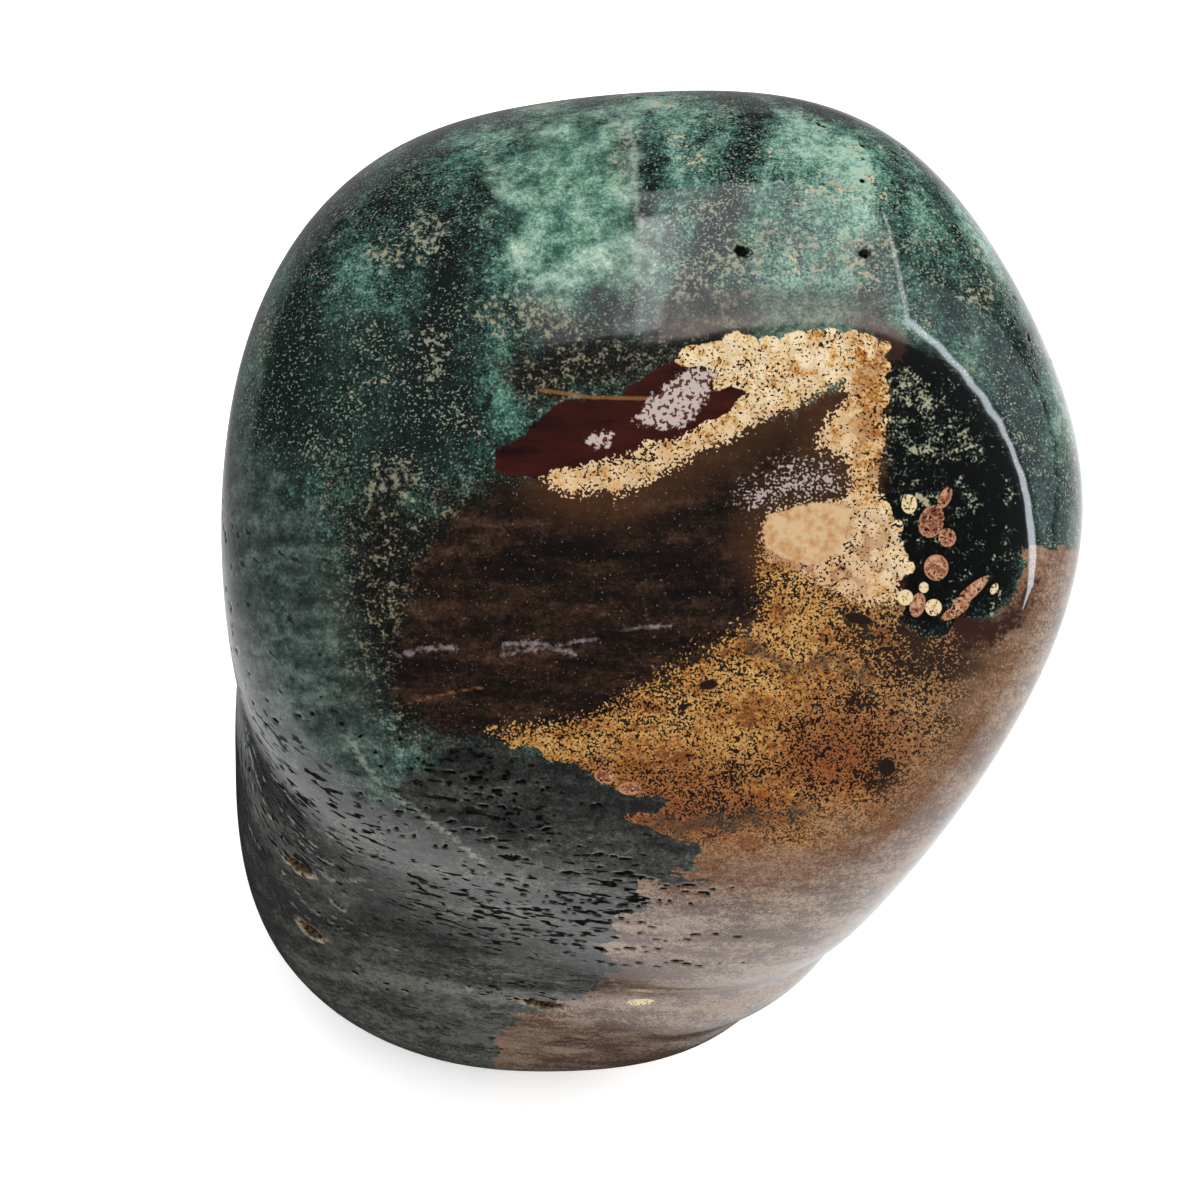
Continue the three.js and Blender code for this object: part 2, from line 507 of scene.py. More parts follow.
# %% Cut the skin finer where it is needed
VEINS = {
    # lines on the show face: across and up in mm, with the half width of the vein
    "pale_vein": [
        (0.12, [(-20.3, -11.4), (-18.7, -14.3), (-16.4, -16.4), (-13.2, -18.9), (-9.9, -21.9)]),
        (0.10, [(-25.5, -23.2), (-24.0, -24.9), (-20.5, -24.5)]),
        (0.24, [(2.1, 40.7), (2.9, 37.3), (2.7, 33.8), (3.3, 30.7), (2.9, 27.3)]),
    ],
    "white_streak": [
        (0.12, [(-19.1, -4.5), (-18.0, -4.9), (-16.4, -4.5), (-14.0, -3.9), (-11.4, -3.8)]),
        (0.12, [(-7.6, -3.6), (-5.4, -3.4), (-3.0, -4.0), (-2.0, -4.3)]),
        (0.04, [(-8.1, -4.4), (-4.4, -3.8), (-0.8, -3.2), (3.2, -2.2), (5.9, -2.0)]),
    ],
    "tan_vein": [
        (0.14, [(-4.8, 16.8), (-0.8, 16.2), (4.0, 16.1), (8.2, 16.8)]),
        (0.10, [(-15.4, -8.3), (-12.0, -7.4), (-9.4, -7.0)]),
    ],
    "smudge": [
        (0.60, [(4.5, -18.7), (8.2, -18.4), (13.1, -17.7), (17.0, -17.2)]),
        (0.30, [(12.0, -3.5), (15.0, -5.5), (18.5, -5.0), (21.0, -6.0)]),
    ],
}
SPOTS = {
    # across and up on the show face, the two half sizes in mm, and the tilt in degrees
    "pale_orbs": [(24.8, 7.7, 0.64, 0.78, 0), (24.5, 0.2, 0.64, 0.64, 0), (26.8, -0.6, 0.68, 0.68, 0),
                  (26.0, 1.0, 0.40, 0.45, 0), (31.8, 0.9, 0.30, 0.5, -30), (3.7, -36.8, 1.3, 0.36, 5)],
    "orbs": [(27.7, 8.2, 0.95, 0.48, 62), (26.6, 6.3, 1.0, 1.35, -20), (27.9, 5.0, 0.72, 0.75, 0),
             (27.0, 2.6, 1.0, 1.05, 0), (25.5, -0.4, 0.62, 1.0, -15), (29.8, 0.6, 1.95, 0.5, 41),
             (28.6, -0.9, 1.3, 0.45, 30), (0.4, -14.3, 0.90, 0.55, -10), (2.4, -15.3, 0.95, 0.55, 0)],
    "marks": [(8.7, -6.8, 0.85, 0.42, 5), (23.3, -13.6, 0.70, 0.75, 40), (6.7, -8.6, 0.5, 0.3, 20),
              (20.7, -1.5, 1.3, 0.42, -12), (2.1, -17.0, 0.75, 0.4, 0)],
}
SHOW_PATCH = ((-10, 40), (-6, 24), 30)
ORB_PATCH = ((19, 32.2), (-3.5, 9.6), 30)
NEAR_VEIN = 0.8
NEAR_SPOT = 1.8
NEAR_PIT = 0.9  # times the half length of the pit
NEAR_FOOT = 1e-4


def from_line(line, points):
    """How far points of a plane are from a line of several stretches."""
    corners = np.array(line)
    best = np.full(len(points), np.inf)
    for start, end in zip(corners[:-1], corners[1:]):
        run = end - start
        reach = points - start
        share = np.clip(reach @ run / (run @ run), 0, 1)
        best = np.minimum(best, np.linalg.norm(reach - share[:, None] * run, axis=1))
    return best


def face_middles():
    """The middles of all faces, in millimetres on the show face."""
    return on_show_face(np.array([face.calc_center_median() for face in work.faces]))


def in_patch(patch):
    """The faces whose middles lie in a box of the show face."""
    (left, right), (low, high), nearest = patch
    return [face for face, (across, up, out) in zip(work.faces, face_middles())
            if left < across < right and low < up < high and out > nearest]


cut_finer(in_patch(SHOW_PATCH), 1)
cut_finer(in_patch(ORB_PATCH), 2)
middles = face_middles()
near_line = np.zeros(len(middles), dtype=bool)
for lines in VEINS.values():
    for _, line in lines:
        near_line |= from_line(line, middles[:, :2]) < NEAR_VEIN
for spots in SPOTS.values():
    for across, up, *_ in spots:
        near_line |= np.hypot(middles[:, 0] - across, middles[:, 1] - up) < NEAR_SPOT
in_front = middles[:, 2] > 0
crowded = (middles[:, 0] > ORB_PATCH[0][0]) & (middles[:, 1] > ORB_PATCH[1][0])
cut_finer([face for face, near in zip(work.faces, near_line & in_front & ~crowded) if near], 2)
print("with finer patches the skin has %d faces" % len(work.faces))



def stands_on_foot(face):
    """Whether a face touches the cut foot."""
    return any(vert.co.z < NEAR_FOOT for vert in face.verts)


work.faces.ensure_lookup_table()
finder = BVHTree.FromBMesh(work)
near_pits = set()
for pit in pits:
    for _, _, index, _ in finder.find_nearest_range(pit["spot"], pit["length"] * NEAR_PIT):
        near_pits.add(index)
chosen = [work.faces[index] for index in near_pits if not stands_on_foot(work.faces[index])]
cut_finer(chosen, 3)
bmesh.ops.triangulate(work, faces=[face for face in work.faces if len(face.verts) > 4])
print("%d faces cut for pits, %d faces in all" % (len(chosen), len(work.faces)))

# %% [markdown]
# ## Pressing the pits
# Each pit is an ellipse that lies along its row and has a rounded bottom. Cutting each with its own body would leave
# sharp slivers. Here every point inside the ellipse goes in along the skin's own direction, the middle most, and how
# far it went is kept for the finish, as is the pale lining round the larger hollows.

# %% Press the pits in
PIT_REACH = 1.6  # times the half length: how far round a pit its points are looked for
BOWL = 0.7  # below 1, the bottom is flat and the wall steep
LINING_REACH = 1.5  # times the pit's own size
work.verts.ensure_lookup_table()
rest = np.array([vert.co for vert in work.verts])
pressed = np.zeros(len(rest))
lining = np.zeros(len(rest))
push = np.zeros_like(rest)
for pit in pits:
    away = rest - np.array(pit["spot"])
    near = np.nonzero((away ** 2).sum(axis=1) < (PIT_REACH * pit["length"]) ** 2)[0]
    along = away[near] @ np.array(pit["along"]) / pit["length"]
    beside = away[near] @ np.array(pit["beside"]) / pit["width"]
    bowl = np.clip(1 - along ** 2 - beside ** 2, 0, 1) ** BOWL
    push[near] -= bowl[:, None] * pit["depth"] * np.array(pit["normal"])
    pressed[near] = np.maximum(pressed[near], bowl)
    if pit["lined"]:
        lining[near] = np.maximum(lining[near], 1 - np.hypot(along, beside) / LINING_REACH)
for vert, move, place in zip(work.verts, push, rest):
    if place[2] > NEAR_FOOT:
        vert.co = Vector(place + move)
stone_mesh = bpy.data.meshes.new("jasper_stone_skin")
work.to_mesh(stone_mesh)
work.free()
stone_mesh.polygons.foreach_set("use_smooth", [True] * len(stone_mesh.polygons))
triangles = sum(len(polygon.vertices) - 2 for polygon in stone_mesh.polygons)
print("the stone has %d triangles" % triangles)

# %% [markdown]
# ## The colour zones
# A jasper's colours sit in beds, and each bed has an outline that ends at a crack or at a row of orbs. Each zone is
# sketched here as a few corner points in millimetres. Every point of the skin then gets a number for each zone: how
# far it is inside the outline, or outside as a negative. The finish frays, scallops or softens that edge. Painting
# a picture would be the other way, but a picture can't be sharpened, and it would stretch over the sides.

# %% Outlines of the zones
ZONES = {
    # plane, the least height over it in mm, and the corners of the outline on it
    "cream": [
        ("show", 30, [(5, 19), (6.8, 20.4), (8, 20.8), (10.8, 21.4), (13, 21.1), (14.9, 21.1), (15.7, 21.8),
            (18.2, 21.6), (20.3, 22.1), (21.7, 21.5), (23.2, 20.4), (23, 17), (23.1, 12.5), (22.4, 10.9), (22.4, 9.9),
            (22.1, 8.8), (23.3, 7.6), (24.2, 6.2), (23.9, 5.2), (24.8, 3.8), (24.9, 2.2), (23.4, 0), (21.6, -0.2),
            (19.8, 0.2), (17.6, 1.4), (15.6, 2.4), (13.2, 3.5), (12.9, 5.4), (13.5, 6.9), (15.3, 7.5), (17.4, 7.8),
            (19.7, 8), (20.2, 9.8), (19.9, 11.4), (17.5, 12.2), (17.5, 13.3), (18.6, 14.7), (19.7, 15.9),
            (19.9, 17.7), (18.1, 17), (16.7, 15.9), (13.9, 14.9), (11.5, 13.7), (10.6, 12.7), (8.2, 12), (5.9, 10.6),
            (4.5, 9.9), (2.2, 8.7), (1.4, 8.2), (0.2, 8.9), (-1.8, 8.4), (-3.7, 8.9), (-4.6, 9.9), (-3.8, 10.8),
            (-2.6, 10.6), (-0.2, 11.1), (1.7, 11.2), (3.5, 12.5), (5.7, 12.7), (7.3, 13.4), (9.9, 15.4), (11.5, 16.7),
            (9.1, 16.7), (8, 18.3)]),
        ("show", 30, [(2.1, 17.6), (2.6, 18.6), (3.4, 18.7), (3.4, 18.1), (2.6, 17.4)]),
        ("behind", 8, [(-10, 60), (4, 68), (15, 63), (19, 54), (9, 48), (-4, 51)]),
    ],
    "maroon": [
        ("show", 30, [(-8.4, 11.8), (-6.4, 13.1), (-4.4, 15), (-3.2, 15.8), (-0.8, 16.1), (1.6, 16.5), (3.2, 17.6),
            (4.5, 18.4), (6.8, 19.6), (7.5, 20.2), (9.6, 20), (13, 17.6), (12.6, 16.2), (11.4, 14.9), (10.2, 13.9),
            (8.6, 12.8), (7, 12), (3.8, 11.5), (2.2, 10.4), (0, 10.2), (-3, 10.2), (-4.2, 9.7), (-6.4, 9.9),
            (-8.1, 9.9)]),
    ],
    "lavender": [
        ("show", 30, [(2.8, 14.5), (4, 16.2), (5.4, 17.2), (7.2, 18.7), (9, 18.3), (8.8, 16.6), (8, 15.4),
            (7.2, 14.2), (5.4, 13.6), (3.8, 13.7)]),
        ("show", 30, [(-1.2, 12.8), (-0.6, 13.3), (1, 13.3), (0.8, 12.4), (-0.8, 12.2)]),
    ],
    "chocolate": [
        ("show", 24, [(-8, 9.7), (-3.2, 10.4), (4, 12.8), (11.2, 14.4), (20.1, 18.1), (22.6, 16.1), (22.6, 8),
            (20, 7), (17, 3.5), (15, -3), (9, -8), (3, -11), (-2, -11.5), (-8, -11.5), (-12.9, -10.9), (-16.5, -8),
            (-16, -3.2), (-14.3, 3.2), (-11.1, 7.2)]),
        ("behind", 4, [(9, 50), (22, 56), (32, 46), (28, 34), (14, 30), (0, 36), (-4, 46)]),
    ],
    "flurry": [
        ("show", 30, [(10.8, 8), (11.2, 9.2), (14, 11), (16, 11.6), (19.2, 11.1), (20, 8.4), (17.2, 7.8), (15.2, 7.5),
            (13.4, 7), (11.6, 6.8)]),
    ],
    "core": [
        ("show", 30, [(13.2, 4.2), (13, 5.4), (13.4, 6.7), (15.3, 7.4), (17.4, 7.8), (19.7, 7.8), (20, 6.8),
            (19.7, 5.2), (18.8, 3.6), (17.2, 2.8), (15.6, 3), (14.4, 3.5)]),
    ],
    "gold": [
        ("show", -60, [(13, 4.8), (20, 3.2), (24.5, 0.8), (24.5, -2), (26.9, -2.7), (31.1, -1.8), (33.2, 0),
            (33.9, 2.3), (34.3, 3.9), (35.7, 4.2), (37.6, 4.5), (60, 6), (60, -70), (-14, -70), (-9.7, -43.1),
            (-7.5, -38.4), (-1.8, -36.8), (0, -32.8), (1.5, -28.3), (1.1, -27.4), (3, -26.2), (4, -25.1),
            (3.3, -24.4), (3.3, -23.3), (5.7, -23.1), (8.2, -22.5), (7.3, -21.3), (8.1, -20.4), (5.7, -19.4),
            (3.8, -18.9), (2.6, -18.4), (2.3, -17.8), (3.8, -17.3), (6.5, -16.5), (3.8, -16.1), (2.3, -15.8),
            (1.4, -15.2), (-0.2, -14.8), (-1.7, -13.6), (-3.8, -13.3), (-5.2, -12.3), (-8.7, -11.1), (-8.7, -10.5),
            (-5.2, -10), (-2.2, -9.9), (0.2, -9), (2.2, -7.2), (4.3, -6.2), (7.9, -3.8), (10.9, -2.7), (12.6, -0.6)]),
        ("behind", -10, [(-50, 50), (-32, 32), (-16, 20), (0, 15), (18, 6), (50, 3), (50, -10), (-50, -10)]),
    ],
    "slate": [
        ("show", -60, [(-60, -9), (-32.6, -13.3), (-24.8, -12.8), (-17.7, -16.5), (-16.3, -13.4), (-13.7, -11.7),
            (-8.7, -11.1), (9, -14), (9, -70), (-60, -70)]),
    ],
    "grey_green": [
        ("show", -60, [(-60, 16), (-29.4, 12.3), (-24.8, 9.6), (-20.7, 3.2), (-18.4, -3.2), (-16.7, -8), (-16.2, -13),
            (-17.7, -16.5), (-24.8, -14), (-33, -14), (-60, -12)]),
    ],
    "umber": [
        ("show", 10, [(-19.9, 9.6), (-14.3, 8), (-8, 9.6), (-3.2, 6.4), (-2.4, -3.2), (-8.8, -8), (-12.9, -11.7),
            (-16.6, -11.7), (-18.9, -8), (-20.4, 0)]),
        ("show", 30, [(-7.5, 18), (-5.5, 21), (0, 21.6), (6.5, 22.3), (12, 22.3), (12, 20), (6, 19.5), (3, 17.5),
            (-2, 16), (-5, 15.4)]),
    ],
    "dusk": [
        ("show", 30, [(4.4, 24.2), (12.9, 25.2), (22.6, 25.2), (23.6, 21.7), (14.5, 21.1), (4.8, 21)]),
    ],
    "taupe": [
        ("show", -60, [(34, 6), (33, 0), (30.5, -6), (27.5, -12), (23, -17), (16, -20), (8, -20.5), (0, -19),
            (-8, -18), (-14, -45), (-14, -70), (60, -70), (60, 6)]),
    ],
    "rust": [
        ("show", 30, [(20.5, 22.7), (23.2, 22.2), (24.6, 21.2), (24.4, 19.6), (23.3, 19), (22.9, 20.5),
            (21.4, 21.6)]),
        ("show", 30, [(27.3, -1.2), (29.5, -1.4), (31.8, -1.8), (33.8, -0.4), (34.8, 1.6), (35.6, 1.4), (34.4, -1.8),
            (31.8, -3.6), (28.5, -2.8)]),
        ("show", 30, [(22.2, 1.4), (23.6, 2.6), (24.4, 3.4), (24.9, 2.6), (24, 0.8), (22.6, 0)]),
    ],
    "amber": [
        ("show", 30, [(20.4, 21.2), (23.6, 21), (23.4, 12), (22.6, 8.6), (20.6, 9.5), (20.6, 16)]),
    ],
    "bark": [
        ("show", 25, [(20.4, -1), (22.5, -1.8), (25.3, -1.4), (27.3, -1.8), (31.5, -1.8), (33.8, 0), (34.4, -2.4),
            (32.4, -6), (28.5, -7.6), (24.1, -6), (20.9, -4.4), (18.8, -2.8)]),
        ("show", 20, [(-2, -9.2), (4, -6.6), (10, -3.4), (12.6, -1.2), (12.2, 0.8), (7, -3.6), (1, -7)]),
    ],
    "ember": [
        ("show", 20, [(14.5, -10.1), (18.5, -8.3), (23, -9.6), (24.8, -13), (22.8, -15.8), (17.9, -16.2),
            (13.8, -14.2)]),
        ("show", 20, [(-1, -13.6), (9, -13), (15, -15), (17, -18), (9, -20.4), (3, -19.4), (2, -16)]),
    ],
    "blotch": [
        ("show", 20, [(-30.5, 17), (-27.6, 24), (-20.1, 25.3), (-12.4, 22.6), (-9.6, 14.9), (-10.9, 9), (-19.5, 8.4),
            (-28.9, 11.5)]),
        ("show", 20, [(24, 30), (31, 27), (37, 20), (40, 8), (39, 0), (35.5, 4.5), (34.8, 8.9), (32.7, 13.7),
            (30.3, 17.8), (27, 22), (24.5, 25)]),
        ("behind", 8, [(-30, 76), (-16, 82), (-4, 76), (-14, 66), (-26, 64)]),
    ],
    "pitted": [
        ("show", 0, [(-18, -15.2), (-13.8, -14), (-8.2, -16.3), (-4.3, -18.7), (-4.6, -20.7), (-9.9, -19.4),
            (-16.5, -17.5)]),
        ("show", 0, [(-14.9, -11.1), (-8.1, -11.4), (-7.7, -13.6), (-13.8, -13.3)]),
        ("show", 0, [(-18.3, -25.3), (-13.5, -22.7), (-3.3, -21.4), (4.1, -21.7), (3.5, -30.2), (-3.5, -31.3),
            (-14.3, -30.3), (-17.7, -27.9)]),
        ("show", 0, [(-8.7, -20.3), (-3.3, -20.3), (3.3, -22.9), (0, -23.9), (-8.4, -22.5)]),
        ("show", -10, [(-12, -35.5), (0, -34.5), (0, -36.7), (-12.1, -37.3)]),
        ("show", -40, [(-40, -6), (-30, -9), (-24.6, -11.1), (-16.9, -21.1), (-23, -24.7), (-40, -24)]),
        ("behind", 8, [(-20, 20), (-4, 26), (10, 22), (4, 12), (-14, 12)]),
    ],
    "grainy": [
        ("show", 10, [(4, 23.5), (14, 23), (23, 24.5), (30, 24), (33, 30), (24, 37), (14, 41), (4.5, 42)]),
        ("show", 30, [(22, 19.5), (26, 19.5), (29.5, 15), (29.5, 9), (25.5, 8.5), (22, 11)]),
        ("behind", 10, [(-6, 84), (20, 80), (26, 68), (14, 70), (2, 76)]),
    ],
    "night": [
        ("show", 20, [(23.3, 21.8), (26.6, 20.6), (30.3, 17.8), (32.7, 13.7), (34.8, 8.9), (35.5, 4.5), (34, 3.2),
            (33.6, 0.2), (31.8, -1.3), (30.2, -1.3), (27.4, -2.6), (24.1, -2), (22.5, 0), (21.6, 8), (21.7, 16.1)]),
    ],
    "crescent": [
        ("show", 20, [(-7.4, 29.5), (-6.4, 26.8), (-4.6, 25.2), (-2.5, 24.4), (0.2, 24.9), (2.2, 26.2), (3.3, 28.4),
            (3.4, 31.5), (2.4, 34), (1.8, 31.5), (1, 29.2), (-0.6, 27.8), (-2.4, 27.2), (-4.8, 27.8), (-6.2, 29.4)]),
    ],
    "mint": [
        ("show", 20, [(-7.5, 30.5), (-7.9, 35.6), (-5.9, 38.6), (-2.5, 41), (1.7, 40.3), (3.3, 32.6), (3.2, 27.3),
            (1, 25.4), (-2.4, 24.5), (-4.8, 25), (-6.9, 27.1)]),
        ("behind", 8, [(-26, 46), (-20, 56), (-12, 58), (-14, 44), (-20, 36)]),
    ],
}
print("%d zones are sketched" % len(ZONES))

# %% [markdown]
# ## From outlines to numbers
# An outline says where a bed ends, but the finish has to know how near to that end a point is. So for each point the
# distance to the nearest stretch of the outline is worked out, with the sign of inside or outside. A zone counts only
# where the stone faces its plane, or else it would come out again on the other side.

# %% How far each point is inside each zone
def depth_inside(outline, points):
    """How far points of a plane are inside a closed outline, negative outside."""
    corners = np.array(outline, dtype=float)
    inside = np.zeros(len(points), dtype=bool)
    for start, end in zip(corners, np.roll(corners, -1, axis=0)):
        run = end - start
        spans = (start[1] > points[:, 1]) != (end[1] > points[:, 1])
        slope = run[0] / run[1] if run[1] else 0.0
        inside ^= spans & (points[:, 0] < start[0] + (points[:, 1] - start[1]) * slope)
    edge = from_line([*outline, outline[0]], points)
    return np.where(inside, edge, -edge)


places = np.zeros(len(stone_mesh.vertices) * 3)
stone_mesh.vertices.foreach_get("co", places)
places = places.reshape(-1, 3)
planes = {"show": on_show_face(places), "behind": from_behind(places)}
FARTHEST = 60.0


def keep_on_skin(name, values):
    """Stores one number for each point of the skin."""
    layer = stone_mesh.attributes.new(name, "FLOAT", "POINT")
    layer.data.foreach_set("value", values.astype(np.float32))


for name, outlines in ZONES.items():
    inside = np.full(len(places), -FARTHEST)
    for plane, nearest, outline in outlines:
        flat = planes[plane]
        inside = np.maximum(inside, np.minimum(depth_inside(outline, flat[:, :2]), flat[:, 2] - nearest))
    keep_on_skin(name, inside)
    print("%-10s covers %.0f%% of the points" % (name, 100 * (inside > 0).mean()))
keep_on_skin("pit", pressed)
keep_on_skin("lining", lining)
for name, lines in VEINS.items():
    inside = np.full(len(places), -FARTHEST)
    for half_width, line in lines:
        inside = np.maximum(inside, half_width - from_line(line, planes["show"][:, :2]))
    keep_on_skin(name, np.where(planes["show"][:, 2] > 0, inside, -FARTHEST))

# %% [markdown]
# ## Single orbs and crumbs
# The dark pocket at the right has a few single orbs, and the moss has loose clusters of pale crumbs. They could be
# small bodies of their own, but they are in the stone and polished flush with it. So each is an ellipse on the skin,
# kept as a distance like the zones.

# %% Single orbs
CRUMBS = [
    (-17.9, 28.0, 1.0, 1.2, 0), (-15.0, 27.9, 0.9, 0.45, 10), (-13.8, 30.0, 1.2, 1.5, 30), (-13.2, 20.0, 0.7, 1.6, 0),
    (-8.3, 23.1, 0.9, 1.3, 30), (-4.2, 22.5, 2.4, 1.1, -30), (-16.4, 9.6, 1.9, 1.2, -10), (-11.8, 5.8, 1.6, 0.9, 20),
    (7.4, 25.6, 1.6, 1.0, 40), (10.9, 27.7, 1.7, 1.5, 0), (10.7, 24.3, 1.6, 0.8, 0), (13.4, 29.7, 1.1, 0.8, 0),
    (16.8, 28.8, 1.3, 0.9, -30), (18.5, 27.2, 1.5, 0.9, 20), (21.5, 28.2, 1.7, 1.7, 0), (20.2, 24.4, 0.9, 0.6, 0),
    (30.8, 24.6, 1.1, 1.0, 0), (25.2, 12.8, 1.9, 1.3, 20), (28.0, 11.4, 1.2, 0.9, 0), (8.6, 31.6, 1.0, 0.7, 0),
    (18.8, 33.6, 1.2, 0.8, 0), (1.6, 36.6, 0.6, 1.4, 0),
]
SPOTS_FROM = 5  # mm over the plane, so that none comes out at the back
show = planes["show"]
for name, spots in {**SPOTS, "crumbs": CRUMBS}.items():
    inside = np.full(len(places), -FARTHEST)
    for across, up, wide, tall, tilt in spots:
        turn = math.radians(tilt)
        away = show[:, :2] - np.array([across, up])
        along = (away @ np.array([math.cos(turn), math.sin(turn)])) / wide
        beside = (away @ np.array([-math.sin(turn), math.cos(turn)])) / tall
        inside = np.maximum(inside, (1 - np.hypot(along, beside)) * min(wide, tall))
    keep_on_skin(name, np.where(show[:, 2] > SPOTS_FROM, inside, -FARTHEST))
print("%d single orbs and marks, and %d clusters of crumbs" % (sum(map(len, SPOTS.values())), len(CRUMBS)))

# %% [markdown]
# ## The jasper finish
# The finish starts from moss green and lays one bed over the other, from the softest to the sharpest. Where a bed
# meets another through orbs its edge is scalloped by cells, and elsewhere it is frayed by noise. Two effects come
# back in several beds with other values, so each is a group: pepper, which is fine dark specks, and frayed, which
# turns a distance into a mask with a crumbled edge.

# %% Pepper, as a group
def new_group(name, inputs, output):
    """An empty node group with float or vector inputs and one output."""
    group = bpy.data.node_groups.new(name, "ShaderNodeTree")
    for label, kind in inputs:
        group.interface.new_socket(label, in_out="INPUT", socket_type="NodeSocket" + kind)
    group.interface.new_socket(output, in_out="OUTPUT", socket_type="NodeSocketFloat")
    return group, group.nodes.new("NodeGroupInput").outputs, group.nodes.new("NodeGroupOutput").inputs


pepper_tree, given, handed = new_group(
    "pepper", [("Place", "Vector"), ("Scale", "Float"), ("Threshold", "Float"), ("Drift", "Float")], "Mask")
tray = Tray(pepper_tree)
grain = tray.noise(given["Place"], given["Scale"], 1.0, 0.55)
over = tray.sum("SUBTRACT", tray.sum("ADD", grain, given["Drift"]), given["Threshold"])
tray.feed(handed["Mask"], tray.step(over, -0.015, 0.02))
print("pepper has %d nodes" % len(pepper_tree.nodes))

# %% [markdown]
# ## Frayed edges
# No bed ends in a clean line. The distance to its outline is pushed in and out by a noise, and then a soft step
# makes a mask of it. How far it is pushed and how soft the step is differ from bed to bed, so they are inputs.

# %% Frayed edges, as a group
fray_tree, given, handed = new_group(
    "frayed_edge", [("Inside", "Float"), ("Crumb", "Float"), ("Fray", "Float"), ("Softness", "Float")], "Mask")
tray = Tray(fray_tree)
swing = tray.times(tray.sum("SUBTRACT", given["Crumb"], 0.5), tray.times(given["Fray"], 4.0))
edge = tray.sum("ADD", given["Inside"], swing)
low = tray.times(given["Softness"], -1.0)
tray.feed(handed["Mask"], tray.step(edge, low, given["Softness"]))
print("a frayed edge has %d nodes" % len(fray_tree.nodes))

# %% [markdown]
# ## Places and noises that the beds share
# The beds lie at a slant to the stone, so most textures are read in the directions of the show face, and some are
# stretched along the streaks. A noise is costly to work out, so a few are laid once, from coarse to fine, and each
# bed weighs them in its own way.

# %% The jasper's beds
jasper = bpy.data.materials.new("jasper")
jasper.use_nodes = True
tree = jasper.node_tree
shader = tree.nodes["Principled BSDF"]
tray = Tray(tree)
IN_MM = (1000, 1000, 1000)
TO_FACE = (VIEW_ELEVATION - math.pi / 2, 0, 0)
FACE_MIDDLE = (2.4, -25.43, -37.72)  # brings the middle of the show face to zero, in mm


def mapped(place, scale, turn=(0, 0, 0), shift=(0, 0, 0)):
    """A place that is stretched, turned and moved."""
    inputs = {"Vector": place, "Scale": scale, "Rotation": turn, "Location": shift}
    return tray.lay("Mapping", inputs).outputs[0]


place = tray.lay("TexCoord").outputs["Object"]
mm = mapped(place, IN_MM)
face_mm = mapped(place, IN_MM, TO_FACE, FACE_MIDDLE)
smeared = mapped(face_mm, (0.22, 1.0, 0.35), (0, 0, 0.15))
upright = mapped(face_mm, (1.0, 0.3, 0.6), (0, 0, -0.2))
coarse_crumb = tray.noise(mm, 0.32, 3.0, 0.62)
middle_crumb = tray.noise(mm, 0.9, 2.0, 0.65)
fine_crumb = tray.noise(face_mm, 2.0, 2.0, 0.65)
fine = tray.noise(mm, 5.0, 0.0, 0.6)
masses = tray.noise(upright, 0.11, 3.0, 0.6, 0.6)
streaks = tray.noise(smeared, 0.42, 4.0, 0.66)
face_parts = tray.lay("SeparateXYZ", {0: face_mm})
print("the shared noises take %d nodes" % len(tree.nodes))


# %% [markdown]
# ## Words for laying beds
# Each bed is laid with the same few moves: read how far a point is inside it, fray that edge, weigh some noises, and
# lay its colour over what lies below. Each move gets a name here, so that a bed reads as a recipe.

# %% Words for laying beds
def zone(name):
    """How far the skin is inside a zone, in millimetres."""
    return tray.lay("Attribute", attribute_name=name).outputs["Fac"]


def centred(cloud, strength):
    """A noise as a push to both sides of zero."""
    return tray.times(tray.sum("SUBTRACT", cloud, 0.5), strength)


def blend(*parts):
    """A weighted sum of noises."""
    total = None
    for cloud, weight in parts:
        part = tray.times(cloud, weight)
        total = part if total is None else tray.sum("ADD", total, part)
    return total


def frayed(inside, fray, crumb, softness):
    """The mask of a zone with a crumbled edge."""
    node = tray.lay("Group", {0: inside, 1: crumb, 2: fray, 3: softness}, node_tree=fray_tree)
    return node.outputs[0]


def pepper(place, scale, threshold, drift=0.0):
    """The mask of fine specks. Half of the noise is above 0.5, a tenth above about 0.62."""
    node = tray.lay("Group", {0: place, 1: scale, 2: threshold, 3: drift}, node_tree=pepper_tree)
    return node.outputs[0]


def between(mask, low, high):
    """A number that goes from low to high with a mask."""
    return tray.fade(mask, 0.0, 1.0, low, high)


def cover(under, mask, share, code):
    """A plain colour laid over a colour, by a share of a mask."""
    return tray.mix(tray.times(mask, share), under, stain(code))


def laid(bed):
    """Says how far the finish has come."""
    print("%s laid, %d nodes so far" % (bed, len(tree.nodes)))


# %% [markdown]
# ## Moss green
# The moss is the ground of the whole stone: blue-green clouds that darken to nearly black, with pale grains and tan
# flecks that come in crowds. One noise would look like marble, so four sizes are weighed together and turned into
# colour by a ramp. The flecks get a second slow noise, which is what crowds them.

# %% Moss green
patchy = centred(coarse_crumb, 0.3)
grainy = frayed(zone("grainy"), 2.0, coarse_crumb, 2.5)
blotch = frayed(zone("blotch"), 2.5, coarse_crumb, 4.0)
moss_tone = blend((masses, 0.52), (middle_crumb, 0.18), (fine_crumb, 0.16), (fine, 0.14))
moss_tone = tray.sum("ADD", moss_tone, tray.times(grainy, 0.025))
moss_tone = tray.sum("SUBTRACT", moss_tone, tray.times(blotch, 0.03))
moss = tray.ramp(moss_tone, (0.42, "#0c1615"), (0.47, "#192e29"), (0.508, "#2f534a"), (0.552, "#537d6e"),
                 (0.62, "#96b7a4"))
moss = cover(moss, blotch, 0.80, "#131c1a")
grain_limit = between(grainy, 0.635, 0.60)
grains = pepper(mm, 4.6, grain_limit, patchy)
colour = cover(moss, grains, 0.45, "#a5b7a4")
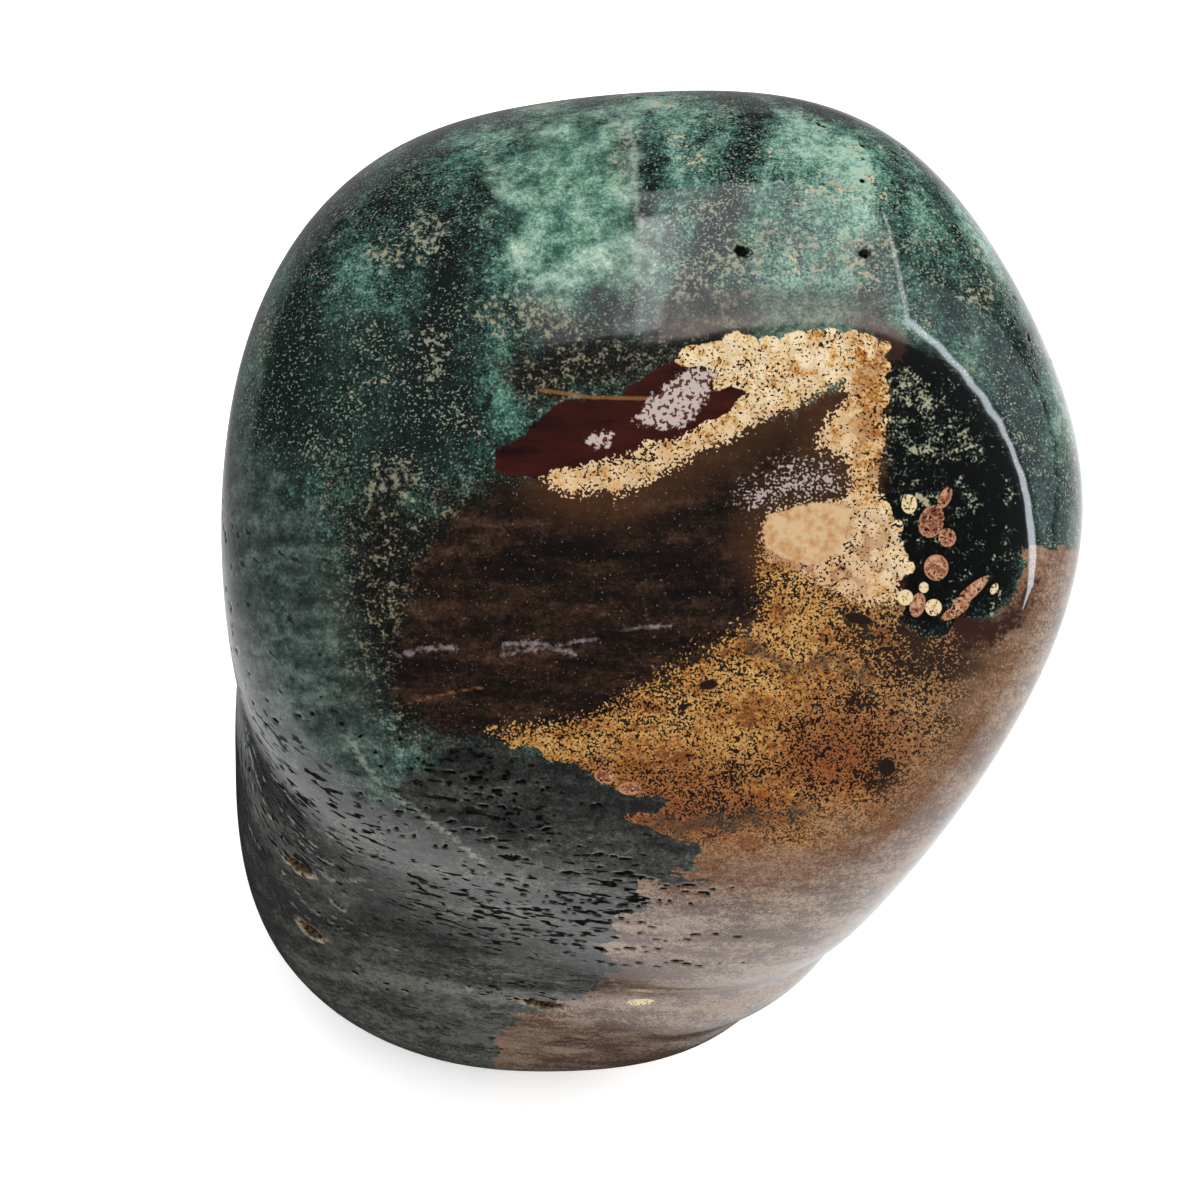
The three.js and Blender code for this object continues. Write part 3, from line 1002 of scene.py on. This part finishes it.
crowds = centred(blend((masses, 0.4), (coarse_crumb, 0.6)), 1.3)
flecks = pepper(mm, 2.4, tray.sum("ADD", grain_limit, 0.13), crowds)
colour = tray.mix(tray.times(flecks, between(blotch, 0.85, 0.45)), colour, stain("#c2ab88"))
crumbs_inside = tray.sum("ADD", zone("crumbs"), centred(middle_crumb, 5.0))
crumbs = frayed(tray.sum("SUBTRACT", crumbs_inside, 0.15), 1.2, fine_crumb, 0.25)
crumb_colour = tray.ramp(fine_crumb, (0.42, "#161c18"), (0.50, "#3f463c"), (0.59, "#9c977e"))
laid("moss")

# %% [markdown]
# ## Mint, grey green and umber
# A pale mint cloud with a bright lower rim lies in the moss, a hazy grey green runs down the left, and brown-black
# umber frames the chocolate. They could be patches with edges of their own, but on the stone they fade into the moss.
# So they are made as the moss is, with other ramps and with wide frays.

# %% The mint cloud, the grey green and the umber
mint = frayed(zone("mint"), 2.2, coarse_crumb, 2.2)
mint_tone = blend((coarse_crumb, 0.36), (middle_crumb, 0.18), (fine_crumb, 0.16), (fine, 0.14), (masses, 0.16))
near_streak = tray.step(zone("pale_vein"), -4.0, 0.0)
crescent = frayed(zone("crescent"), 1.0, coarse_crumb, 1.4)
mint_light = tray.sum("ADD", mint_tone, tray.times(near_streak, 0.03))
mint_light = tray.sum("ADD", mint_light, tray.times(crescent, 0.040))
mint_colour = tray.ramp(mint_light, (0.42, "#33584c"), (0.49, "#5d8673"), (0.57, "#98b8a3"), (0.66, "#d3dcc6"))
colour = tray.mix(tray.times(mint, 0.85), colour, mint_colour)
haze = frayed(zone("grey_green"), 2.5, coarse_crumb, 3.0)
haze_tone = blend((streaks, 0.45), (middle_crumb, 0.25), (fine_crumb, 0.20), (fine, 0.10))
haze_colour = tray.ramp(haze_tone, (0.42, "#232e2b"), (0.50, "#3c4943"), (0.60, "#64716a"))
colour = tray.mix(tray.times(haze, 0.92), colour, haze_colour)
colour = tray.mix(tray.times(crumbs, 0.75), colour, crumb_colour)
umber = frayed(zone("umber"), 2.2, coarse_crumb, 2.4)
umber_tone = blend((middle_crumb, 0.35), (fine_crumb, 0.35), (fine, 0.30))
umber_colour = tray.ramp(umber_tone, (0.44, "#0f0f0c"), (0.54, "#26251d"), (0.61, "#7d7760"))
colour = tray.mix(umber, colour, umber_colour)
dusk = frayed(zone("dusk"), 0.6, middle_crumb, 0.7)
dusk_colour = tray.ramp(middle_crumb, (0.42, "#241a17"), (0.58, "#4a3a33"))
colour = tray.mix(tray.times(dusk, 0.55), colour, dusk_colour)
laid("mint, grey green and umber")

# %% [markdown]
# ## Slate and night
# The slate at the lower left is a fine grey bed with a pale vein. Right under the gold it is darker by painted shade,
# and at the toe lighter by a painted sheen: both stand in for the dark and bright table that the flutes mirror. The
# night is the black pocket at the right, with pale grains in it. Both are ramps over weighed noises again, and the
# height on the show face shifts the slate's tone for the painted shade and sheen, which keeps its grain.

# %% Slate and night
low_down = tray.step(tray.sum("ADD", zone("taupe"), centred(streaks, 9.0)), -2.5, 2.5)
# painted shade: the slate turns darker right under the gold, where the flutes mirror a darker table
painted_shade_under_gold = tray.step(face_parts.outputs["Y"], -22.0, -14.0)
slate = frayed(zone("slate"), 1.6, coarse_crumb, 1.8)
slate_tone = blend((streaks, 0.40), (middle_crumb, 0.20), (fine_crumb, 0.25), (fine, 0.15))
slate_tone = tray.sum("SUBTRACT", slate_tone, tray.times(painted_shade_under_gold, 0.05))
# painted sheen: the slate turns lighter at the toe, in place of the bright table mirrored in the flutes
painted_sheen_at_toe = tray.step(face_parts.outputs["Y"], -30.5, -35.0)
slate_tone = tray.sum("ADD", slate_tone, tray.times(painted_sheen_at_toe, 0.055))
slate_colour = tray.ramp(slate_tone, (0.40, "#191b19"), (0.48, "#323430"), (0.54, "#464842"), (0.62, "#6a6c63"))
colour = tray.mix(slate, colour, slate_colour)
pale_vein = frayed(zone("pale_vein"), 0.35, fine_crumb, 0.30)
colour = cover(colour, pale_vein, 0.50, "#a3aca0")
night = frayed(zone("night"), 0.7, middle_crumb, 0.9)
night_tone = blend((middle_crumb, 0.40), (fine_crumb, 0.35), (fine, 0.25), (coarse_crumb, 0.30), (grainy, 0.065))
night_colour = tray.ramp(night_tone, (0.67, "#040706"), (0.73, "#0d1513"), (0.77, "#3a473c"), (0.82, "#a39c7e"))
colour = tray.mix(night, colour, night_colour)
laid("slate and night")

# %% [markdown]
# ## Chocolate
# The large brown bed is streaked along its length and turns warmer beside the cream. A wave texture would make the
# streaks too even, so they come from a noise that is stretched sideways. The same noise breaks up the white streaks.

# %% Chocolate
chocolate = frayed(zone("chocolate"), 1.2, middle_crumb, 1.0)
brown_tone = blend((streaks, 0.50), (middle_crumb, 0.20), (fine_crumb, 0.18), (fine, 0.12))
chocolate_colour = tray.ramp(brown_tone, (0.40, "#0f0806"), (0.48, "#1d110b"), (0.55, "#332014"), (0.68, "#5a4336"))
beside_cream = tray.step(zone("cream"), -4.0, -0.3)
chocolate_colour = cover(chocolate_colour, beside_cream, 0.55, "#4f2f12")
dust = pepper(mm, 4.4, 0.725)
chocolate_colour = cover(chocolate_colour, dust, 0.5, "#8f8078")
colour = tray.mix(chocolate, colour, chocolate_colour)
white_streak = tray.times(frayed(zone("white_streak"), 0.25, fine_crumb, 0.20), tray.step(streaks, 0.40, 0.52))
colour = cover(colour, white_streak, 0.60, "#a2959a")
tan_vein = frayed(zone("tan_vein"), 0.05, fine_crumb, 0.10)
laid("chocolate")

# %% [markdown]
# ## Gold and taupe
# The gold is full of black pepper in two sizes, meets the slate in round lobes, and turns to rust in the middle and
# to hazy brown at the right. Lower down it becomes banded taupe. Noise alone gives ragged edges, never round ones. So
# cells make the lobes: how near a point is to the middle of its cell pushes the edge outward.

# %% Gold and taupe
lobe_gap = tray.cells(face_mm, 0.66)
scallop = tray.times(tray.sum("SUBTRACT", 0.62, lobe_gap), 0.9)
gritty = blend((fine_crumb, 0.5), (fine, 0.5))
gold_crumbs = tray.step(zone("chocolate"), -0.5, 1.0)
tongues = tray.times(centred(streaks, 7.0), low_down)
gold_inside = tray.sum("ADD", zone("gold"), tray.times(scallop, between(gold_crumbs, 1.0, 0.0)))
gold_inside = tray.sum("ADD", gold_inside, tongues)
gold = frayed(gold_inside, between(gold_crumbs, 0.2, 1.5), gritty, 0.08)
to_right = tray.step(tray.sum("ADD", face_parts.outputs["X"], centred(coarse_crumb, 12.0)), 15.0, 32.0)
bark = frayed(zone("bark"), 2.0, coarse_crumb, 2.0)
ember = frayed(zone("ember"), 2.5, coarse_crumb, 3.0)
gold_tone = blend((coarse_crumb, 0.40), (streaks, 0.20), (fine_crumb, 0.25), (fine, 0.15))
gold_colour = tray.ramp(gold_tone, (0.42, "#77431f"), (0.47, "#a06a33"), (0.52, "#bd8b4c"), (0.60, "#d0a868"))
gold_colour = cover(gold_colour, to_right, 0.75, "#8f7152")
gold_colour = cover(gold_colour, ember, 0.80, "#854824")
taupe_tone = blend((streaks, 0.45), (coarse_crumb, 0.20), (fine_crumb, 0.20), (fine, 0.15))
taupe_colour = tray.ramp(taupe_tone, (0.455, "#5a4234"), (0.50, "#7b6352"), (0.55, "#9b8572"))
near_gold = tray.step(zone("taupe"), 7.0, 0.0)
taupe_colour = cover(taupe_colour, near_gold, 0.5, "#8c5f3f")
gold_colour = tray.mix(low_down, gold_colour, taupe_colour)
richness = blend((to_right, 0.06), (bark, 0.12), (ember, 0.035), (gold_crumbs, 0.02))
gold_pepper = pepper(mm, 5.2, tray.sum("SUBTRACT", 0.57, richness), centred(coarse_crumb, 0.45))
blots = pepper(mm, 2.7, tray.sum("SUBTRACT", 0.655, richness), centred(middle_crumb, 0.35))
gold_pepper = tray.times(tray.sum("MAXIMUM", gold_pepper, blots), between(low_down, 0.97, 0.35))
pepper_colour = tray.mix(tray.sum("MAXIMUM", to_right, bark), stain("#0c0806"), stain("#281812"))
gold_colour = tray.mix(gold_pepper, gold_colour, pepper_colour)
smudge = frayed(zone("smudge"), 1.2, middle_crumb, 1.0)
gold_colour = cover(gold_colour, smudge, 0.7, "#3f352a")
gold_colour = tray.mix(tray.step(zone("marks"), -0.05, 0.08), gold_colour, stain("#241611"))
colour = tray.mix(gold, colour, gold_colour)
laid("gold and taupe")

# %% [markdown]
# ## Maroon and cream
# A maroon lens and a pale angled band of cream orbs are what the eye meets first. The band could be built of single
# balls, but there are hundreds, polished flush. So cells give it lobes where its edge is free, a noise crumbles it
# where it meets the chocolate, and the cells' far corners show as thin brown gaps between the orbs.

# %% Maroon, cream and what lies in them
maroon = frayed(zone("maroon"), 0.35, middle_crumb, 0.12)
maroon_colour = tray.ramp(streaks, (0.35, "#1e0502"), (0.65, "#441007"))
colour = tray.mix(maroon, colour, maroon_colour)
colour = tray.mix(frayed(zone("rust"), 0.9, fine_crumb, 0.5), colour, stain("#361a13"))
colour = cover(colour, tan_vein, 0.8, "#8a5c30")
crumble = tray.step(zone("chocolate"), -0.6, 0.6)
crumble = tray.sum("MAXIMUM", crumble, tray.step(zone("gold"), -1.0, 1.0))
cream_inside = tray.sum("ADD", zone("cream"), tray.times(scallop, between(crumble, 1.0, 0.0)))
cream = frayed(cream_inside, between(crumble, 0.1, 0.9), gritty, 0.06)
cream_tone = blend((middle_crumb, 0.5), (fine_crumb, 0.3), (fine, 0.2))
amber = frayed(zone("amber"), 1.0, middle_crumb, 1.2)
stained = tray.sum("SUBTRACT", cream_tone, tray.times(amber, 0.09))
cream_colour = tray.ramp(stained, (0.35, "#955619"), (0.40, "#bd8640"), (0.455, "#d9b986"), (0.56, "#ead5b0"))
cream_colour = cover(cream_colour, crumble, 0.35, "#c28d55")
near_core = tray.times(tray.step(zone("core"), -6.0, -1.0), tray.step(face_parts.outputs["Y"], 8.0, 5.0))
cream_colour = cover(cream_colour, near_core, 0.50, "#c39a78")
gap = tray.step(lobe_gap, 0.66, 0.84)
gap_share = between(tray.sum("MAXIMUM", near_core, amber), 0.15, 0.55)
cream_colour = tray.mix(tray.times(gap, gap_share), cream_colour, stain("#935a2c"))
cream_pepper = pepper(face_mm, 4.3, 0.605, centred(coarse_crumb, 0.35))
cream_colour = tray.mix(cream_pepper, cream_colour, stain("#26180f"))
colour = tray.mix(cream, colour, cream_colour)
lavender = frayed(zone("lavender"), 0.5, fine_crumb, 0.15)
lavender_colour = tray.mix(pepper(mm, 2.8, 0.55), stain("#c0b0a8"), stain("#5a332d"))
colour = tray.mix(tray.times(lavender, 0.95), colour, lavender_colour)
flurry_grains = tray.sum("ADD", zone("flurry"), centred(blend((fine, 0.5), (fine_crumb, 0.5)), 16.0))
flurry = tray.times(tray.step(flurry_grains, 1.2, 2.4), tray.step(zone("flurry"), -1.5, 0.6))
colour = cover(colour, flurry, 0.9, "#b3a5a2")
core = frayed(zone("core"), 0.25, middle_crumb, 0.12)
core_colour = tray.ramp(blend((middle_crumb, 0.7), (fine_crumb, 0.3)), (0.40, "#bd8a58"), (0.56, "#d0b086"))
colour = tray.mix(core, colour, core_colour)
laid("maroon and cream")

# %% [markdown]
# ## The orbs
# The single orbs in the dark pocket are brick red or cream, each with a rim of another colour. A second ring of
# faces could carry the rim. The distance to the orb's edge is there already, so one more step on it does the same.

# %% The orbs
orb = zone("orbs")
orb_colour = tray.ramp(cream_tone, (0.42, "#6e3a28"), (0.50, "#965d42"), (0.58, "#c39a78"))
orb_colour = tray.mix(tray.step(orb, 0.05, 0.20), stain("#b0805c"), orb_colour)
orb_colour = tray.mix(cream_pepper, orb_colour, stain("#35130d"))
colour = tray.mix(tray.step(orb, -0.03, 0.04), colour, orb_colour)
pale_orb = zone("pale_orbs")
pale_colour = tray.mix(tray.times(tray.step(pale_orb, 0.42, 0.55), 0.6), stain("#e3cc9f"), stain("#a5743a"))
pale_colour = tray.mix(cream_pepper, pale_colour, stain("#4a2a1a"))
colour = tray.mix(tray.step(pale_orb, -0.03, 0.04), colour, pale_colour)
laid("the orbs")

# %% [markdown]
# ## The pits and the gloss
# A polished stone mirrors, but an open pit in it does not. One glossy layer would lay its veil over the pits too. So
# the stone's own layer is nearly matt, the polish is a coat over it, and the coat is left out in the pits and in the
# fine slits of the slate. That keeps them black, and painted shade adds to it: a near-black colour inside the pits
# and in the slits, which have no dents of their own.

# %% The pits and the gloss
POLISH_ROUGHNESS = 0.06
QUARTZ_IOR = 1.54
STONE_ROUGHNESS = 0.45
PIT_ROUGHNESS = 0.9
STONE_SPECULAR = 0.08
walls = mapped(mm, (0.42, 0.42, 1.15), (0, 0.16, 0))
pitted = frayed(zone("pitted"), 1.2, middle_crumb, 1.5)
# painted shade: fine dark slits in the slate, with no dent under them
slit = pepper(walls, 1.5, between(pitted, 0.71, 0.59), centred(coarse_crumb, 0.25))
stony = tray.sum("MAXIMUM", slate, tray.times(haze, 0.8))
slit = tray.times(slit, stony, between(gold, 1.0, 0.0))
in_pit = tray.step(zone("pit"), 0.06, 0.42)
lining_zone = zone("lining")
lining_mask = tray.step(lining_zone, 0.05, 0.22)
colour = tray.mix(tray.times(lining_mask, 0.8), colour,
                  tray.ramp(fine_crumb, (0.42, "#5a4a36"), (0.58, "#a39478")))
# painted shade: near-black inside the pits, and inside the lined hollows their brown lining darkened
pit_shade_colour = tray.ramp(fine_crumb, (0.46, "#050504"), (0.64, "#221d15"))
shaded_lining_colour = tray.ramp(fine_crumb, (0.42, "#1a120c"), (0.58, "#5c4630"))
pit_shade_colour = tray.mix(tray.step(lining_zone, 0.30, 0.40), pit_shade_colour, shaded_lining_colour)
hollowed = tray.sum("MAXIMUM", in_pit, slit)
colour = tray.mix(hollowed, colour, pit_shade_colour)
tray.feed(shader.inputs["Base Color"], colour)
tray.feed(shader.inputs["Coat Weight"], between(hollowed, 1.0, 0.0))
shader.inputs["Coat Roughness"].default_value = POLISH_ROUGHNESS
shader.inputs["Coat IOR"].default_value = QUARTZ_IOR
tray.feed(shader.inputs["Roughness"], between(hollowed, STONE_ROUGHNESS, PIT_ROUGHNESS))
shader.inputs["Specular IOR Level"].default_value = STONE_SPECULAR
print("the jasper finish has %d nodes" % len(tree.nodes))

# %% [markdown]
# ## Hand the stone over
# The new skin stands for the CAD stone: it rides on the root body, it takes the jasper finish in its material
# slot, and the CAD node is hidden but stays for collision.

# %% Hand over
stone = bpy.data.objects.new("polished_jasper", stone_mesh)
scene.collection.objects.link(stone)
stone_mesh.materials.append(jasper)
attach(stone, "root")
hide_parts("jasper_stone")
